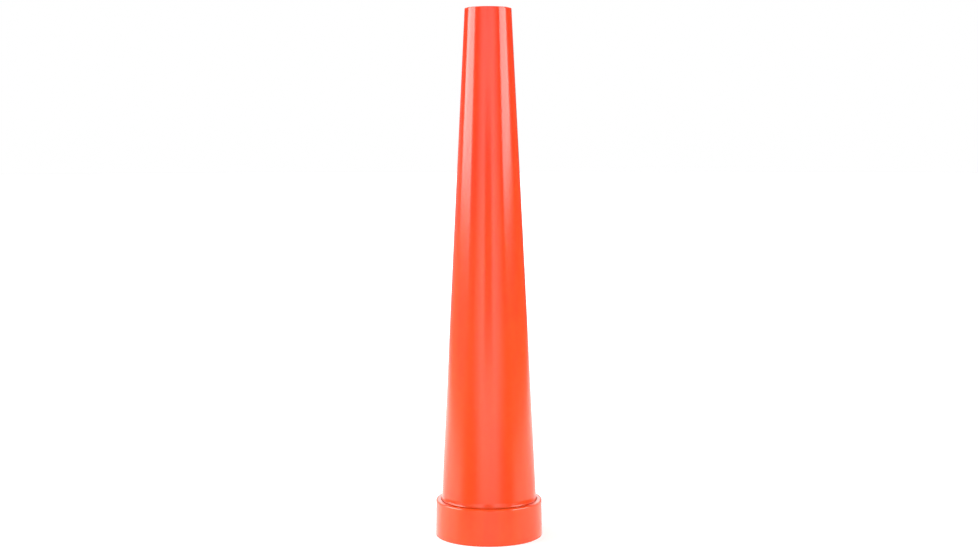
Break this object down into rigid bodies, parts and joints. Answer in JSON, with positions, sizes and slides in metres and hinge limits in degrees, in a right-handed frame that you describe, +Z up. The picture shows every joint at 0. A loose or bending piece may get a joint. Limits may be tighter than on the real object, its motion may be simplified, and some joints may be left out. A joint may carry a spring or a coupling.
{
  "type": "flashlight traffic cone",
  "caption": "Slim translucent signalling cone with a short collar that slips over a flashlight's head; stands on its collar with the tip up.",
  "frame": {"origin": "centre of the mouth's rim, at the bottom of the part as it stands", "axes": "+Z up along the cone's axis, from the mouth to the tip; the part is turned about Z, so X and Y are free"},
  "size_m": [0.043, 0.043, 0.21],
  "materials": {
    "cone_plastic": "glossy translucent orange-red, moulded",
    "collar_plastic": "glossy translucent orange-red, moulded",
    "plug_plastic": "glossy translucent orange-red, moulded",
    "seat_rubber": "matt orange-red elastomer",
    "grip_rubber": "matt orange-red elastomer"
  },
  "bodies": {
    "root": {"cone_shell": "cone_plastic", "collar": "collar_plastic", "tip_plug": "plug_plastic", "bezel_seat": "seat_rubber", "grip_ring": "grip_rubber"}
  },
  "joints": []
}
